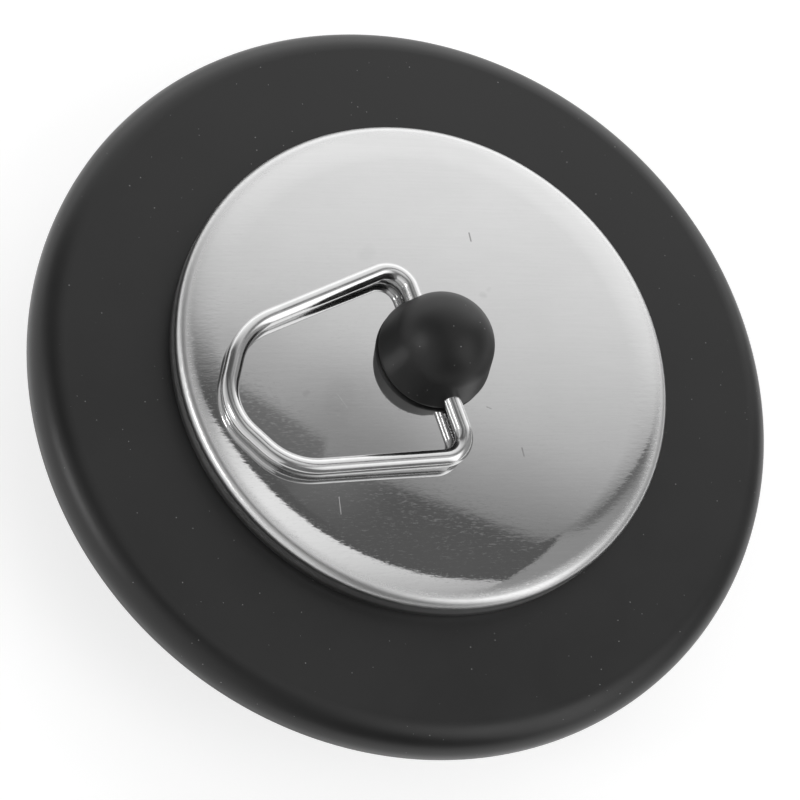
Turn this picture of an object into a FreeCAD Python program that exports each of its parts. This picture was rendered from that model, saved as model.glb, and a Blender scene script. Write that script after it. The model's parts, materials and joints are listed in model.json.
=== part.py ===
"""Drain stopper: a rubber disc with a steel cover, a rubber knob and a wire pull ring.

Millimetres, +Z up. The origin is the middle of the spigot's lower edge, on which the stopper stands.
The ring lies towards -X and swings over the knob about the knob's cross hole, which runs along Y.
"""

import FreeCAD, Part
import enum
import math
import os

import Sketcher

# Driving dimensions, in millimetres, angles in degrees
SIZES = {
    # Rubber disc: flange, and the hollow tapered spigot that goes into the outlet
    "disc_diameter": 75.0,
    "flange_thickness": 4.0,
    "flange_top_round": 2.8,
    "flange_under_round": 0.6,
    "spigot_diameter": 44.0,
    "spigot_depth": 12.0,
    "spigot_draft": 6.0,
    "spigot_wall": 3.5,
    "spigot_lip_round": 1.0,
    "hollow_corner_round": 1.5,
    # Steel cover: a shallow pressed cup with a slightly crowned top
    "cover_diameter": 49.6,
    "cover_edge_height": 3.0,
    "cover_crown": 0.45,
    "cover_edge_round": 1.0,
    "cover_shoulder_round": 26.0,
    "cover_shoulder_start": 20.6,
    "cover_sheet": 0.5,
    "cover_boss_gap": 0.12,
    "boss_edge_round": 2.0,
    # Knob: domed head, neck through the cover, barbed tail in the disc
    "knob_foot_diameter": 11.5,
    "knob_height": 7.35,
    "knob_nose_radius": 5.05,
    "knob_foot_round": 0.5,
    "neck_diameter": 7.8,
    "neck_clearance": 0.1,
    "barb_diameter": 10.8,
    "barb_land": 0.6,
    "barb_length": 2.2,
    "barb_tip_diameter": 7.0,
    "barb_seat_depth": 3.0,
    "barb_clearance": 0.3,
    # Pull ring: one round wire bent round five pins to a stirrup with a blunt point;
    # its shoulder reach is from the shoulders' pins to the far end
    "wire_diameter": 1.7,
    "wire_clearance": 0.1,
    "ring_hole_diameter": 2.4,
    "ring_hole_offset": 0.5,
    "ring_axis_height": 1.35,
    "ring_reach": 20.8,
    "ring_point_radius": 5.4,
    "ring_shoulder_radius": 6.6,
    "ring_shoulder_reach": 7.45,
    "ring_shoulder_spread": 2.2,
    "ring_bend_radius": 2.3,
    "ring_leg_length": 1.6,
    "ring_end_gap": 3.0,
    "ring_side_shift": -0.9,
    "ring_cover_gap": 0.15,
}

# Places that follow from the driving dimensions, as expressions on the sheet
DISC_RADIUS = "Sizes.disc_diameter / 2"
FLANGE_TOP = "(Sizes.spigot_depth + Sizes.flange_thickness)"
SPIGOT_TOP_RADIUS = "Sizes.spigot_diameter / 2"
SPIGOT_TAPER = "Sizes.spigot_depth * tan(Sizes.spigot_draft)"
SPIGOT_LIP_RADIUS = f"({SPIGOT_TOP_RADIUS} - {SPIGOT_TAPER})"

COVER_RADIUS = "(Sizes.cover_diameter / 2)"
COVER_TOP = "(Sizes.cover_edge_height + Sizes.cover_crown)"
CROWN_RADIUS = f"(({COVER_RADIUS}^2 + Sizes.cover_crown^2) / (2 * Sizes.cover_crown))"
CROWN_CENTRE = f"({COVER_TOP} - {CROWN_RADIUS})"
COVER_HOLE_RADIUS = "(Sizes.neck_diameter / 2 + Sizes.neck_clearance)"
KNOB_SEAT = f"({CROWN_CENTRE} + sqrt({CROWN_RADIUS}^2 - {COVER_HOLE_RADIUS}^2))"

BOSS_RADIUS = f"({COVER_RADIUS} - Sizes.cover_sheet - Sizes.cover_boss_gap)"
BOSS_CROWN_RADIUS = f"({CROWN_RADIUS} - Sizes.cover_sheet - Sizes.cover_boss_gap)"
BOSS_CROWN_CENTRE = f"({FLANGE_TOP} + {CROWN_CENTRE})"
BOSS_EDGE = f"({BOSS_CROWN_CENTRE} + sqrt({BOSS_CROWN_RADIUS}^2 - {BOSS_RADIUS}^2))"

KNOB_PLACE = f"({FLANGE_TOP} + {KNOB_SEAT})"
BARB_SHOULDER = f"(Sizes.spigot_depth + Sizes.barb_seat_depth - {KNOB_PLACE})"
NOSE_CENTRE = "(Sizes.knob_height - Sizes.knob_nose_radius)"

RING_AXIS = f"({KNOB_PLACE} + Sizes.ring_axis_height)"
RING_HOLE_HEIGHT = (
    "(Sizes.ring_axis_height + Sizes.ring_hole_diameter / 2"
    " - Sizes.wire_diameter / 2 - Sizes.wire_clearance)"
)
LEG_END = "(Sizes.knob_foot_diameter / 2 + Sizes.ring_leg_length)"
SHOULDER_PIN = "(Sizes.ring_reach - Sizes.ring_shoulder_reach)"
POINT_PIN = "(Sizes.ring_reach - Sizes.ring_point_radius)"
RING_FAR_END = "(Sizes.ring_hole_offset + Sizes.ring_reach)"
CROWN_DROP = f"({KNOB_SEAT} - {CROWN_CENTRE} - sqrt({CROWN_RADIUS}^2 - {RING_FAR_END}^2))"
RING_DIP = (
    f"asin((Sizes.ring_axis_height + {CROWN_DROP} - Sizes.wire_diameter / 2 - Sizes.ring_cover_gap)"
    " / Sizes.ring_reach)"
)


class At(enum.IntEnum):
    """Which point of a sketch line or arc a constraint holds."""

    START = 1
    END = 2
    CENTRE = 3


class Axis(enum.IntEnum):
    """The sketch's own axes, as constraints number them."""

    X = -1
    Y = -2


doc = FreeCAD.newDocument("drain_stopper")


def fill_sheet():
    """Each driving dimension in a cell of its own, with its name as the alias."""
    sheet = doc.addObject("Spreadsheet::Sheet", "Sizes")
    for row, (name, value) in enumerate(SIZES.items(), start=1):
        sheet.set(f"A{row}", name)
        sheet.set(f"B{row}", str(value))
        sheet.setAlias(f"B{row}", name)
    doc.recompute()
    return sheet


sizes = fill_sheet()


def value_of(expression):
    """The number that an expression on the sheet stands for now."""
    return float(sizes.evalExpression(expression))


def new_body(label):
    body = doc.addObject("PartDesign::Body", label)
    body.Label = label
    return body


def new_sketch(body, name, plane):
    """An empty sketch on one of the body's own origin planes."""
    sketch = body.newObject("Sketcher::SketchObject", name)
    origin_plane = next(f for f in body.Origin.OriginFeatures if f.Role == plane)
    sketch.AttachmentSupport = [(origin_plane, "")]
    sketch.MapMode = "FlatFace"
    return sketch


def bind(sketch, kind, *places, to):
    """A dimension of the sketch, bound to an expression on the sheet."""
    index = sketch.addConstraint(Sketcher.Constraint(kind, *places, value_of(to)))
    sketch.setExpression(f"Constraints[{index}]", to)


def join(sketch, first, second, kind="Coincident"):
    """The end of one line or arc meets the start of the next, tangent where the kind says so."""
    sketch.addConstraint(Sketcher.Constraint(kind, first, At.END, second, At.START))


def pin_start(sketch, edge, across, up):
    """The start of an edge at a place given by two expressions; zero means on the axis."""
    for kind, axis, place in (("DistanceX", Axis.Y, across), ("DistanceY", Axis.X, up)):
        if place == "0":
            sketch.addConstraint(Sketcher.Constraint("PointOnObject", edge, At.START, axis))
        else:
            bind(sketch, kind, edge, At.START, to=place)


def point(across, up):
    return FreeCAD.Vector(value_of(across), value_of(up), 0)


def arc(centre, radius, first_angle, last_angle):
    """A circular arc, anticlockwise, with its angles in radians."""
    circle = Part.Circle(centre, FreeCAD.Vector(0, 0, 1), radius)
    return Part.ArcOfCircle(circle, first_angle, last_angle)


def chain_of_lines(sketch, corners):
    """Lines from corner to corner, each start pinned; the last corner is left to what follows."""
    for corner, following in zip(corners, corners[1:]):
        line = sketch.addGeometry(Part.LineSegment(point(*corner), point(*following)), False)
        pin_start(sketch, line, *corner)
    for line in range(len(corners) - 2):
        join(sketch, line, line + 1)
    return len(corners) - 2


def close_with_crown(sketch, last_line, centre_up, radius, low_end, meets="Coincident"):
    """Closes an outline with an arc about the axis, up from low_end, and a line down the axis."""
    centre = FreeCAD.Vector(0, value_of(centre_up), 0)
    rise = point(*low_end) - centre
    low_angle = math.atan2(rise.y, rise.x)
    crown = sketch.addGeometry(arc(centre, value_of(radius), low_angle, math.pi / 2), False)
    top = centre + FreeCAD.Vector(0, value_of(radius), 0)
    foot = sketch.Geometry[0].StartPoint
    spine = sketch.addGeometry(Part.LineSegment(top, foot), False)
    join(sketch, last_line, crown, meets)
    join(sketch, crown, spine)
    join(sketch, spine, 0)
    sketch.addConstraint(Sketcher.Constraint("PointOnObject", crown, At.CENTRE, Axis.Y))
    sketch.addConstraint(Sketcher.Constraint("PointOnObject", crown, At.END, Axis.Y))
    bind(sketch, "Radius", crown, to=radius)
    return crown


def revolve(body, sketch):
    """A full turn of the outline about the vertical axis."""
    turned = body.newObject("PartDesign::Revolution", f"{sketch.Name}_turned")
    turned.Profile = sketch
    turned.ReferenceAxis = (sketch, ["V_Axis"])
    turned.Angle = 360
    doc.recompute()
    return turned


def is_circle(edge):
    """True for a round edge; the point where a dome meets its axis is an edge with no curve."""
    return not edge.Degenerated and isinstance(edge.Curve, Part.Circle)


def round_edge(body, name, radius_of_circle, height, size):
    """A fillet on the circular edge of that radius at that height."""
    base = body.Tip
    wanted = (value_of(radius_of_circle), value_of(height))
    edges = base.Shape.Edges
    ring = min(
        (i for i, edge in enumerate(edges) if is_circle(edge)),
        key=lambda i: math.dist(wanted, (edges[i].Curve.Radius, edges[i].Curve.Center.z)),
    )
    fillet = body.newObject("PartDesign::Fillet", name)
    fillet.Base = (base, [f"Edge{ring + 1}"])
    fillet.setExpression("Radius", size)
    doc.recompute()


def cut(body, pocket):
    """Checks that a pocket took material away."""
    before = pocket.BaseFeature.Shape.Volume
    doc.recompute()
    if not pocket.Shape.Volume < before:
        raise RuntimeError(f"{pocket.Name} cuts nothing")
    body.Tip = pocket


def round_hole(body, name, radius, length=None):
    """A round hole up the vertical axis from the body's own base plane, right through or to a length."""
    sketch = new_sketch(body, f"{name}_circle", "XY_Plane")
    sketch.addGeometry(Part.Circle(FreeCAD.Vector(), FreeCAD.Vector(0, 0, 1), value_of(radius)), False)
    sketch.addConstraint(Sketcher.Constraint("Coincident", 0, At.CENTRE, Axis.X, At.START))
    bind(sketch, "Radius", 0, to=radius)
    hole = body.newObject("PartDesign::Pocket", name)
    hole.Profile = sketch
    hole.Reversed = True
    if length is None:
        hole.Type = "ThroughAll"
    else:
        hole.Type = "Length"
        hole.setExpression("Length", length)
    cut(body, hole)


def sealing_disc():
    """Rubber moulding: flange, boss for the cover, hollow tapered spigot and stepped socket."""
    body = new_body("sealing_disc")
    outline = new_sketch(body, "disc_outline", "XZ_Plane")
    corners = [
        ("0", "Sizes.spigot_depth"),
        (f"{SPIGOT_TOP_RADIUS} - Sizes.spigot_wall", "Sizes.spigot_depth"),
        (f"{SPIGOT_LIP_RADIUS} - Sizes.spigot_wall", "0"),
        (SPIGOT_LIP_RADIUS, "0"),
        (SPIGOT_TOP_RADIUS, "Sizes.spigot_depth"),
        (DISC_RADIUS, "Sizes.spigot_depth"),
        (DISC_RADIUS, FLANGE_TOP),
        (BOSS_RADIUS, FLANGE_TOP),
        (BOSS_RADIUS, BOSS_EDGE),
    ]
    last = chain_of_lines(outline, corners)
    outline.addConstraint(Sketcher.Constraint("Vertical", last))
    close_with_crown(outline, last, BOSS_CROWN_CENTRE, BOSS_CROWN_RADIUS, corners[-1])
    bind(outline, "DistanceY", last, At.END, to=BOSS_EDGE)
    revolve(body, outline)
    round_edge(body, "flange_top_edge", DISC_RADIUS, FLANGE_TOP, "Sizes.flange_top_round")
    round_edge(body, "flange_under_edge", DISC_RADIUS, "Sizes.spigot_depth", "Sizes.flange_under_round")
    round_edge(body, "boss_edge", BOSS_RADIUS, BOSS_EDGE, "Sizes.boss_edge_round")
    round_edge(body, "spigot_lip_edge", SPIGOT_LIP_RADIUS, "0", "Sizes.spigot_lip_round")
    round_edge(
        body, "hollow_corner", f"{SPIGOT_TOP_RADIUS} - Sizes.spigot_wall", "Sizes.spigot_depth",
        "Sizes.hollow_corner_round",
    )
    round_hole(
        body, "barb_seat", "Sizes.barb_diameter / 2 + Sizes.barb_clearance",
        length="Sizes.spigot_depth + Sizes.barb_seat_depth",
    )
    round_hole(body, "neck_hole", COVER_HOLE_RADIUS)
    return body


def cover_plate():
    """Pressed steel cup: the sheet's own section, with its rounded edge and crowned top, turned once."""
    body = new_body("cover_plate")
    section = new_sketch(body, "sheet_section", "XZ_Plane")
    outside = value_of(COVER_RADIUS)
    sheet = value_of("Sizes.cover_sheet")
    edge_round = value_of("Sizes.cover_edge_round")
    crown_round = value_of(CROWN_RADIUS)
    hole = value_of(COVER_HOLE_RADIUS)
    crown_centre = point("0", CROWN_CENTRE)
    # The shoulder touches the crown from inside where it starts, and the edge touches the shoulder.
    shoulder_round = value_of("Sizes.cover_shoulder_round")
    crown_end = math.acos(value_of("Sizes.cover_shoulder_start") / crown_round)
    crown_to_shoulder = FreeCAD.Vector(math.cos(crown_end), math.sin(crown_end), 0)
    shoulder_centre = crown_centre + crown_to_shoulder * (crown_round - shoulder_round)
    edge_across = outside - edge_round - shoulder_centre.x
    edge_up = math.sqrt((shoulder_round - edge_round) ** 2 - edge_across**2)
    edge_centre = shoulder_centre + FreeCAD.Vector(edge_across, edge_up, 0)
    shoulder_end = math.atan2(edge_up, edge_across)
    outer_rim = math.acos(hole / crown_round)
    inner_rim = math.acos(hole / (crown_round - sheet))
    (
        outer_wall, outer_edge, outer_shoulder, outer_crown, rim,
        inner_crown, inner_shoulder, inner_edge, inner_wall, foot,
    ) = range(10)
    outer_foot = point(COVER_RADIUS, "0")
    inner_foot = outer_foot - FreeCAD.Vector(sheet, 0, 0)
    outer = [
        arc(edge_centre, edge_round, 0, shoulder_end),
        arc(shoulder_centre, shoulder_round, shoulder_end, crown_end),
        arc(crown_centre, crown_round, crown_end, outer_rim),
    ]
    inner = [
        arc(crown_centre, crown_round - sheet, crown_end, inner_rim),
        arc(shoulder_centre, shoulder_round - sheet, shoulder_end, crown_end),
        arc(edge_centre, edge_round - sheet, 0, shoulder_end),
    ]
    section.addGeometry(
        [
            Part.LineSegment(outer_foot, outer[0].StartPoint),
            *outer,
            Part.LineSegment(outer[-1].EndPoint, inner[0].EndPoint),
            *inner,
            Part.LineSegment(inner[-1].StartPoint, inner_foot),
            Part.LineSegment(inner_foot, outer_foot),
        ],
        False,
    )
    meetings = [
        ("Tangent", outer_wall, At.END, outer_edge, At.START),
        ("Tangent", outer_edge, At.END, outer_shoulder, At.START),
        ("Tangent", outer_shoulder, At.END, outer_crown, At.START),
        ("Coincident", outer_crown, At.END, rim, At.START),
        ("Coincident", rim, At.END, inner_crown, At.END),
        ("Tangent", inner_crown, At.START, inner_shoulder, At.END),
        ("Tangent", inner_shoulder, At.START, inner_edge, At.END),
        ("Tangent", inner_edge, At.START, inner_wall, At.START),
        ("Coincident", inner_wall, At.END, foot, At.START),
        ("Coincident", foot, At.END, outer_wall, At.START),
        ("Coincident", inner_crown, At.CENTRE, outer_crown, At.CENTRE),
        ("Coincident", inner_shoulder, At.CENTRE, outer_shoulder, At.CENTRE),
        ("Horizontal", inner_edge, At.CENTRE, outer_edge, At.CENTRE),
        ("PointOnObject", outer_crown, At.CENTRE, Axis.Y),
        ("Vertical", outer_wall),
        ("Vertical", inner_wall),
        ("Vertical", rim),
    ]
    for meeting_place in meetings:
        section.addConstraint(Sketcher.Constraint(*meeting_place))
    pin_start(section, outer_wall, COVER_RADIUS, "0")
    pin_start(section, foot, f"{COVER_RADIUS} - Sizes.cover_sheet", "0")
    bind(section, "DistanceX", rim, At.START, to=COVER_HOLE_RADIUS)
    bind(section, "DistanceY", outer_crown, At.CENTRE, to=CROWN_CENTRE)
    bind(section, "Radius", outer_crown, to=CROWN_RADIUS)
    bind(section, "Radius", inner_crown, to=f"{CROWN_RADIUS} - Sizes.cover_sheet")
    bind(section, "Radius", outer_edge, to="Sizes.cover_edge_round")
    bind(section, "Radius", outer_shoulder, to="Sizes.cover_shoulder_round")
    bind(section, "DistanceX", outer_shoulder, At.END, to="Sizes.cover_shoulder_start")
    revolve(body, section)
    body.setExpression("Placement.Base.z", FLANGE_TOP)
    return body


def knob():
    """Rubber moulding: drafted dome with a cross hole, neck and barbed tail."""
    body = new_body("knob")
    outline = new_sketch(body, "knob_outline", "XZ_Plane")
    foot_radius = value_of("Sizes.knob_foot_diameter / 2")
    nose_radius = value_of("Sizes.knob_nose_radius")
    nose_centre = value_of(NOSE_CENTRE)
    # The wall rises from the foot and touches the nose at this angle.
    span = math.hypot(foot_radius, nose_centre)
    lean = math.acos(nose_radius / span) - math.atan2(nose_centre, foot_radius)
    meeting = (
        str(nose_radius * math.cos(lean)),
        str(nose_centre + nose_radius * math.sin(lean)),
    )
    tail_end = f"({BARB_SHOULDER} - Sizes.barb_land - Sizes.barb_length)"
    corners = [
        ("0", tail_end),
        ("Sizes.barb_tip_diameter / 2", tail_end),
        ("Sizes.barb_diameter / 2", f"{BARB_SHOULDER} - Sizes.barb_land"),
        ("Sizes.barb_diameter / 2", BARB_SHOULDER),
        ("Sizes.neck_diameter / 2", BARB_SHOULDER),
        ("Sizes.neck_diameter / 2", "0"),
        ("Sizes.knob_foot_diameter / 2", "0"),
        meeting,
    ]
    wall = chain_of_lines(outline, corners)
    nose = close_with_crown(outline, wall, NOSE_CENTRE, "Sizes.knob_nose_radius", meeting, "Tangent")
    bind(outline, "DistanceY", nose, At.END, to="Sizes.knob_height")
    revolve(body, outline)
    round_edge(body, "foot_edge", "Sizes.knob_foot_diameter / 2", "0", "Sizes.knob_foot_round")
    circle = new_sketch(body, "ring_hole_circle", "XZ_Plane")
    centre = point("-Sizes.ring_hole_offset", RING_HOLE_HEIGHT)
    radius = value_of("Sizes.ring_hole_diameter / 2")
    circle.addGeometry(Part.Circle(centre, FreeCAD.Vector(0, 0, 1), radius), False)
    bind(circle, "DistanceX", 0, At.CENTRE, to="-Sizes.ring_hole_offset")
    bind(circle, "DistanceY", 0, At.CENTRE, to=RING_HOLE_HEIGHT)
    bind(circle, "Diameter", 0, to="Sizes.ring_hole_diameter")
    hole = body.newObject("PartDesign::Pocket", "ring_hole")
    hole.Profile = circle
    hole.Midplane = True
    hole.Type = "ThroughAll"
    cut(body, hole)
    body.setExpression("Placement.Base.z", KNOB_PLACE)
    return body


def outer_tangent(first, second):
    """Where a line that touches two pins on their left, as it runs from one to the other, meets them.

    A pin is its centre and its radius. Also gives the angle of the line's outward side.
    """
    (first_centre, first_radius), (second_centre, second_radius) = first, second
    across = second_centre - first_centre
    outward = math.atan2(across.y, across.x) - math.acos((first_radius - second_radius) / across.Length)
    side = FreeCAD.Vector(math.cos(outward), math.sin(outward), 0)
    return first_centre + side * first_radius, second_centre + side * second_radius, outward % (2 * math.pi)


def pull_ring():
    """Round wire: two legs in the knob's hole, then straight stretches between bends round five pins."""
    body = new_body("pull_ring")
    bend_radius = value_of("Sizes.ring_bend_radius")
    half_gap = value_of("Sizes.ring_end_gap / 2")
    leg_end = FreeCAD.Vector(0, value_of(LEG_END), 0)
    shoulder_place = point(f"-{SHOULDER_PIN}", "Sizes.ring_shoulder_spread / 2")

    def mirrored(place):
        return FreeCAD.Vector(place.x, -place.y, 0)

    leg_pin = (leg_end - FreeCAD.Vector(bend_radius, 0, 0), bend_radius)
    shoulder_pin = (shoulder_place, value_of("Sizes.ring_shoulder_radius"))
    point_pin = (point(f"-{POINT_PIN}", "0"), value_of("Sizes.ring_point_radius"))
    side_start, side_end, side_angle = outer_tangent(leg_pin, shoulder_pin)
    slant_start, slant_end, slant_angle = outer_tangent(shoulder_pin, point_pin)
    whole_turn = 2 * math.pi
    path = new_sketch(body, "wire_path", "XY_Plane")
    stretches = [
        Part.LineSegment(FreeCAD.Vector(0, half_gap, 0), leg_end),
        arc(*leg_pin, 0, side_angle),
        Part.LineSegment(side_start, side_end),
        arc(*shoulder_pin, side_angle, slant_angle),
        Part.LineSegment(slant_start, slant_end),
        arc(*point_pin, slant_angle, whole_turn - slant_angle),
        Part.LineSegment(mirrored(slant_end), mirrored(slant_start)),
        arc(mirrored(shoulder_place), shoulder_pin[1], whole_turn - slant_angle, whole_turn - side_angle),
        Part.LineSegment(mirrored(side_end), mirrored(side_start)),
        arc(mirrored(leg_pin[0]), bend_radius, whole_turn - side_angle, whole_turn),
        Part.LineSegment(mirrored(leg_end), FreeCAD.Vector(0, -half_gap, 0)),
    ]
    path.addGeometry(stretches, False)
    for first in range(len(stretches) - 1):
        join(path, first, first + 1, "Tangent")
    (
        first_leg, first_bend, _, first_shoulder, _, far_point,
        _, last_shoulder, _, last_bend, last_leg,
    ) = range(len(stretches))
    legs = (
        (first_leg, At.START, "Sizes.ring_end_gap / 2", At.END, LEG_END),
        (last_leg, At.END, "-Sizes.ring_end_gap / 2", At.START, f"-{LEG_END}"),
    )
    for leg, tip, tip_place, bend, bend_place in legs:
        path.addConstraint(Sketcher.Constraint("PointOnObject", leg, At.START, Axis.Y))
        path.addConstraint(Sketcher.Constraint("PointOnObject", leg, At.END, Axis.Y))
        bind(path, "DistanceY", leg, tip, to=tip_place)
        bind(path, "DistanceY", leg, bend, to=bend_place)
    shoulders = (
        (first_shoulder, "Sizes.ring_shoulder_spread / 2"),
        (last_shoulder, "-Sizes.ring_shoulder_spread / 2"),
    )
    for shoulder, spread in shoulders:
        bind(path, "DistanceX", shoulder, At.CENTRE, to=f"-{SHOULDER_PIN}")
        bind(path, "DistanceY", shoulder, At.CENTRE, to=spread)
    path.addConstraint(Sketcher.Constraint("PointOnObject", far_point, At.CENTRE, Axis.X))
    bind(path, "DistanceX", far_point, At.CENTRE, to=f"-{POINT_PIN}")
    bind(path, "Radius", far_point, to="Sizes.ring_point_radius")
    bind(path, "Radius", first_shoulder, to="Sizes.ring_shoulder_radius")
    bind(path, "Radius", first_bend, to="Sizes.ring_bend_radius")
    path.addConstraint(Sketcher.Constraint("Equal", first_shoulder, last_shoulder))
    path.addConstraint(Sketcher.Constraint("Equal", first_bend, last_bend))

    section = new_sketch(body, "wire_section", "XZ_Plane")
    section.setExpression("AttachmentOffset.Base.z", "-Sizes.ring_end_gap / 2")
    section.addGeometry(
        Part.Circle(FreeCAD.Vector(), FreeCAD.Vector(0, 0, 1), value_of("Sizes.wire_diameter / 2")), False
    )
    section.addConstraint(Sketcher.Constraint("Coincident", 0, At.CENTRE, Axis.X, At.START))
    bind(section, "Diameter", 0, to="Sizes.wire_diameter")
    doc.recompute()
    wire = body.newObject("PartDesign::AdditivePipe", "bent_wire")
    wire.Profile = section
    wire.Spine = (path, [])
    doc.recompute()
    body.setExpression("Placement.Base.x", "-Sizes.ring_hole_offset")
    body.setExpression("Placement.Base.y", "Sizes.ring_side_shift")
    body.setExpression("Placement.Base.z", RING_AXIS)
    body.Placement.Rotation.Axis = FreeCAD.Vector(0, 1, 0)
    body.setExpression("Placement.Rotation.Angle", f"-{RING_DIP}")
    return body


pieces = [sealing_disc(), cover_plate(), knob(), pull_ring()]
doc.recompute()

for item in doc.Objects:
    if "Invalid" in item.State or "Error" in item.State:
        raise RuntimeError(f"{item.Name} failed: {item.State}")
for piece in pieces:
    shape = piece.Shape
    if shape.isNull() or not shape.isValid() or len(shape.Solids) != 1:
        raise RuntimeError(f"{piece.Label} is not one valid solid")

os.makedirs("parts", exist_ok=True)
for piece in pieces:
    piece.Shape.exportStep(f"parts/{piece.Label}.step")
    box = piece.Shape.optimalBoundingBox()
    print(
        f"{piece.Label}: {piece.Shape.Volume:.1f} mm3, x {box.XMin:.2f}..{box.XMax:.2f}, "
        f"y {box.YMin:.2f}..{box.YMax:.2f}, z {box.ZMin:.2f}..{box.ZMax:.2f}"
    )
print(f"ring hinge at z {value_of(RING_AXIS):.4f}, dips {value_of(RING_DIP):.3f} degrees at rest")
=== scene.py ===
"""Looks of a drain stopper: rubber disc, brushed steel cover, rubber knob and wire pull ring.

Metres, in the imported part's frame: +Z up the disc's axis, with the pull ring lying towards -X.
"""

import json
import math

import bpy
import numpy as np
from mathutils import Matrix, Vector


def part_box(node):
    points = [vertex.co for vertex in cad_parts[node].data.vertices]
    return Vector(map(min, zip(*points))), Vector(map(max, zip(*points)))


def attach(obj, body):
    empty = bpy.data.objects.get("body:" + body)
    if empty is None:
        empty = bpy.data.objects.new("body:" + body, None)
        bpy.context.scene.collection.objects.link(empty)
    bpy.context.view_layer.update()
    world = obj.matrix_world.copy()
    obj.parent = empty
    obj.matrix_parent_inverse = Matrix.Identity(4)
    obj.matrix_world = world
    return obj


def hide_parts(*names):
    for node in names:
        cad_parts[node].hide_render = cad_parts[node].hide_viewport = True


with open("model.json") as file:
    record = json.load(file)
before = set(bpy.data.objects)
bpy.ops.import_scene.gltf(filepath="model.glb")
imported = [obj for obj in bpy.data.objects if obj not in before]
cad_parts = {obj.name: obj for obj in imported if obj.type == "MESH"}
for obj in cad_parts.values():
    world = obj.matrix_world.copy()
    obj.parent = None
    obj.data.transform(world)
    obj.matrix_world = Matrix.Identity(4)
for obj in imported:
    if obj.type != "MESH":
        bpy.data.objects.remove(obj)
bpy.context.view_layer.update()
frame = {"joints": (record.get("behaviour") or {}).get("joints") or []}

MM = 0.001

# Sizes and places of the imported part
_, disc_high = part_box("sealing_disc")
cover_low, cover_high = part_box("cover_plate")
knob_low, knob_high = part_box("knob")
ring_low, ring_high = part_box("pull_ring")
hinge = Vector(frame["joints"][0]["pos_m"])

DISC_RADIUS = disc_high.x
BOSS_TOP = disc_high.z
FLANGE_TOP = cover_low.z
COVER_RADIUS = cover_high.x
COVER_TOP = cover_high.z
KNOB_TOP = knob_high.z
TAIL_END = knob_low.z

# Rubber disc
FLANGE_THICKNESS = 4.0 * MM
FLANGE_TOP_ROUND = 2.8 * MM
FLANGE_UNDER_ROUND = 0.6 * MM
SPIGOT_TOP_RADIUS = 22.0 * MM
SPIGOT_LIP_RADIUS = 20.74 * MM
SPIGOT_WALL = 3.5 * MM
SPIGOT_LIP_ROUND = 1.0 * MM
HOLLOW_ROUND = 1.5 * MM
SMALL_ROUND = 0.3 * MM
SOCKET_RADIUS = 5.7 * MM
SOCKET_DEPTH = 3.0 * MM
BOSS_GAP = 0.12 * MM
BOSS_EDGE_DROP = 0.65 * MM
BOSS_SHOULDER_DROP = 0.35 * MM
BOSS_HOLE_DROP = 0.02 * MM

# Steel cover
SHEET = 0.5 * MM
NECK_HOLE_RADIUS = 4.0 * MM
COVER_CROWN = 0.45 * MM
COVER_EDGE_ROUND = 1.0 * MM
COVER_WALL_HOLD = 0.1 * MM
SHOULDER_START = 20.6 * MM
SHOULDER_ROUND = 26.0 * MM

# Rubber knob
NOSE_RADIUS = 5.05 * MM
FOOT_RADIUS = 5.75 * MM
FOOT_ROUND = 0.5 * MM
NECK_RADIUS = 3.9 * MM
BARB_RADIUS = 5.4 * MM
BARB_LAND = 0.6 * MM
BARB_TIP_RADIUS = 3.5 * MM
TAIL_CAP_RADIUS = 0.4 * MM
RING_HOLE_RADIUS = 1.2 * MM
RING_HOLE_LIFT = 0.25 * MM
HOLE_LIP = 0.2 * MM
HOLE_OVERRUN = 0.4 * MM

# Wire pull ring
WIRE_RADIUS = 0.85 * MM
WIRE_TIP_SHARE = 0.75
RING_END_GAP = 3.0 * MM
RING_LEG_END = 7.35 * MM
RING_BEND_RADIUS = 2.3 * MM
RING_SHOULDER_RADIUS = 6.6 * MM
RING_SHOULDER_REACH = 13.35 * MM
RING_SHOULDER_SPREAD = 2.2 * MM
RING_POINT_RADIUS = 5.4 * MM

# Fineness of the meshes
TURN_STEPS = 512
KNOB_TURN_STEPS = 192
ROUND_STEPS = 12
FLAT_HOLD = 0.12 * MM
SAME_POINT = 1e-7
COVER_ARC_STEPS = 24
COVER_WALL_STEPS = 6
NOSE_STEPS = 60
HOLE_TURN_STEPS = 64
HOLE_RINGS = 81
LEG_STEPS = 24
STRAIGHT_STEPS = 30
LEG_BEND_STEPS = 40
FAR_BEND_STEPS = 32
WIRE_SIDES = 48
CREASE_ANGLE = math.radians(35)

# Rubber's finish: tones and roughness go from where it is clean to where handling has dulled it
DISC_TONES = (0.003, 0.005)
DISC_ROUGHNESS = (0.34, 0.4)
DISC_SPECULAR = 0.53
KNOB_TONES = (0.007, 0.01)
KNOB_ROUGHNESS = (0.44, 0.5)
KNOB_SPECULAR = 0.39
DUST_TONE = 0.22
DUST_ROUGHNESS = 0.8
RUBBER_GRAIN_HEIGHT = 5e-6

# Grain and clouds of the rubber's and the wire's skin: noises as (detail, roughness), and the clouds' fade
SKIN_GRAIN = (2.0, 0.6)
SKIN_CLOUDS = (5.0, 0.62)
SKIN_CLOUDS_FADE = (0.3, 0.7)

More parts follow.
